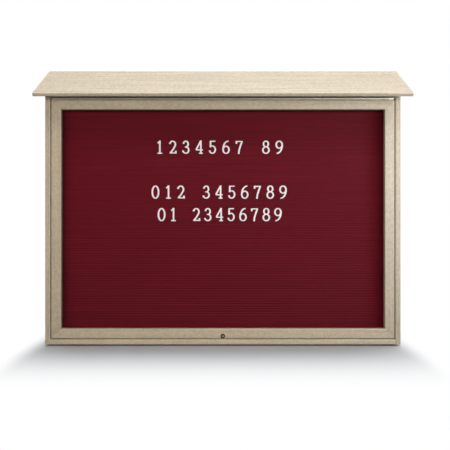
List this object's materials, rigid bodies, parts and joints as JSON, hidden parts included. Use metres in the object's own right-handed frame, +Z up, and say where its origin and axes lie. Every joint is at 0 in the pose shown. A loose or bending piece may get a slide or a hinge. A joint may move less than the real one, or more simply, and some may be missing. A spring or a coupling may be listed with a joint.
{
  "type": "lockable notice board",
  "caption": "Wall-hung outdoor notice board: plastic lumber cabinet, sloped roof, lift-up locking door, grooved letter board.",
  "frame": {"origin": "centre of the four wall holes, on the cabinet's back plane", "axes": "+X to the right as seen from the front, -Y towards the viewer, +Y into the wall, +Z up"},
  "size_m": [1.3588, 0.2024, 1.0445],
  "materials": {
    "sand_lumber": "sand-coloured recycled plastic lumber, fine matt texture",
    "letter_board_vinyl": "burgundy grooved letter board, matt",
    "clear_pane": "clear acrylic",
    "retainer_plastic": "extruded brown plastic",
    "seal_rubber": "black sponge seal",
    "hinge_steel": "plain rolled steel",
    "zinc_steel": "zinc plated",
    "lock_chrome": "bright plate",
    "strut_paint": "black gloss paint",
    "rod_chrome": "ground and plated"
  },
  "bodies": {
    "cabinet": {"back_panel": "sand_lumber", "bottom_board": "sand_lumber", "bottom_door_stops": "sand_lumber", "bottom_seals": "seal_rubber", "centre_batten": "sand_lumber", "fixed_hinge_leaf": "hinge_steel", "front_roof_cleat": "sand_lumber", "hinge_pin": "hinge_steel", "left_batten": "sand_lumber", "left_door_stop": "sand_lumber", "left_seal": "seal_rubber", "left_side_board": "sand_lumber", "left_strut_anchor": "zinc_steel", "letter_board": "letter_board_vinyl", "rear_roof_cleat": "sand_lumber", "right_batten": "sand_lumber", "right_door_stop": "sand_lumber", "right_seal": "seal_rubber", "right_side_board": "sand_lumber", "right_strut_anchor": "zinc_steel", "roof_board": "sand_lumber", "strike_angle": "zinc_steel", "top_board": "sand_lumber"},
    "door": {"bottom_left_corner_brace": "zinc_steel", "bottom_rail": "sand_lumber", "bottom_retainer": "retainer_plastic", "bottom_right_corner_brace": "zinc_steel", "door_hinge_leaf": "hinge_steel", "left_rail": "sand_lumber", "left_retainer": "retainer_plastic", "left_strut_bracket": "zinc_steel", "lock_housing": "lock_chrome", "lock_nut": "lock_chrome", "right_rail": "sand_lumber", "right_retainer": "retainer_plastic", "right_strut_bracket": "zinc_steel", "top_left_corner_brace": "zinc_steel", "top_rail": "sand_lumber", "top_retainer": "retainer_plastic", "top_right_corner_brace": "zinc_steel", "window_pane": "clear_pane"},
    "lock": {"lock_plug": "lock_chrome", "lock_cam": "lock_chrome", "cam_screw": "lock_chrome"},
    "left_strut_cylinder": {"left_strut_cylinder": "strut_paint"},
    "left_strut_rod": {"left_strut_rod": "rod_chrome"},
    "right_strut_cylinder": {"right_strut_cylinder": "strut_paint"},
    "right_strut_rod": {"right_strut_rod": "rod_chrome"}
  },
  "joints": [
    {"name": "door_swing", "type": "hinge", "parent": "cabinet", "child": "door", "pos_m": [0, -0.1143, 0.4334], "axis": [-1, 0, 0], "range_deg": [0, 75]},
    {"name": "lock_turn", "type": "hinge", "parent": "door", "child": "lock", "pos_m": [0, -0.1143, -0.44825], "axis": [0, 1, 0], "range_deg": [0, 90]},
    {"name": "left_strut_tilt", "type": "hinge", "parent": "cabinet", "child": "left_strut_cylinder", "pos_m": [-0.63, -0.0663, 0.4094], "axis": [-1, 0, 0], "range_deg": [0, 71.85]},
    {"name": "left_strut_slide", "type": "slide", "parent": "left_strut_cylinder", "child": "left_strut_rod", "axis": [0, -0.0676, -0.9977], "range_m": [0, 0.0637]},
    {"name": "right_strut_tilt", "type": "hinge", "parent": "cabinet", "child": "right_strut_cylinder", "pos_m": [0.63, -0.0663, 0.4094], "axis": [-1, 0, 0], "range_deg": [0, 71.85]},
    {"name": "right_strut_slide", "type": "slide", "parent": "right_strut_cylinder", "child": "right_strut_rod", "axis": [0, -0.0676, -0.9977], "range_m": [0, 0.0637]}
  ],
  "couplings": [
    {"joint": "left_strut_tilt", "follows": "door_swing", "ratio": 0.95746},
    {"joint": "left_strut_slide", "follows": "door_swing", "m_per_rad": 0.048612},
    {"joint": "right_strut_tilt", "follows": "door_swing", "ratio": 0.95746},
    {"joint": "right_strut_slide", "follows": "door_swing", "m_per_rad": 0.048612}
  ]
}
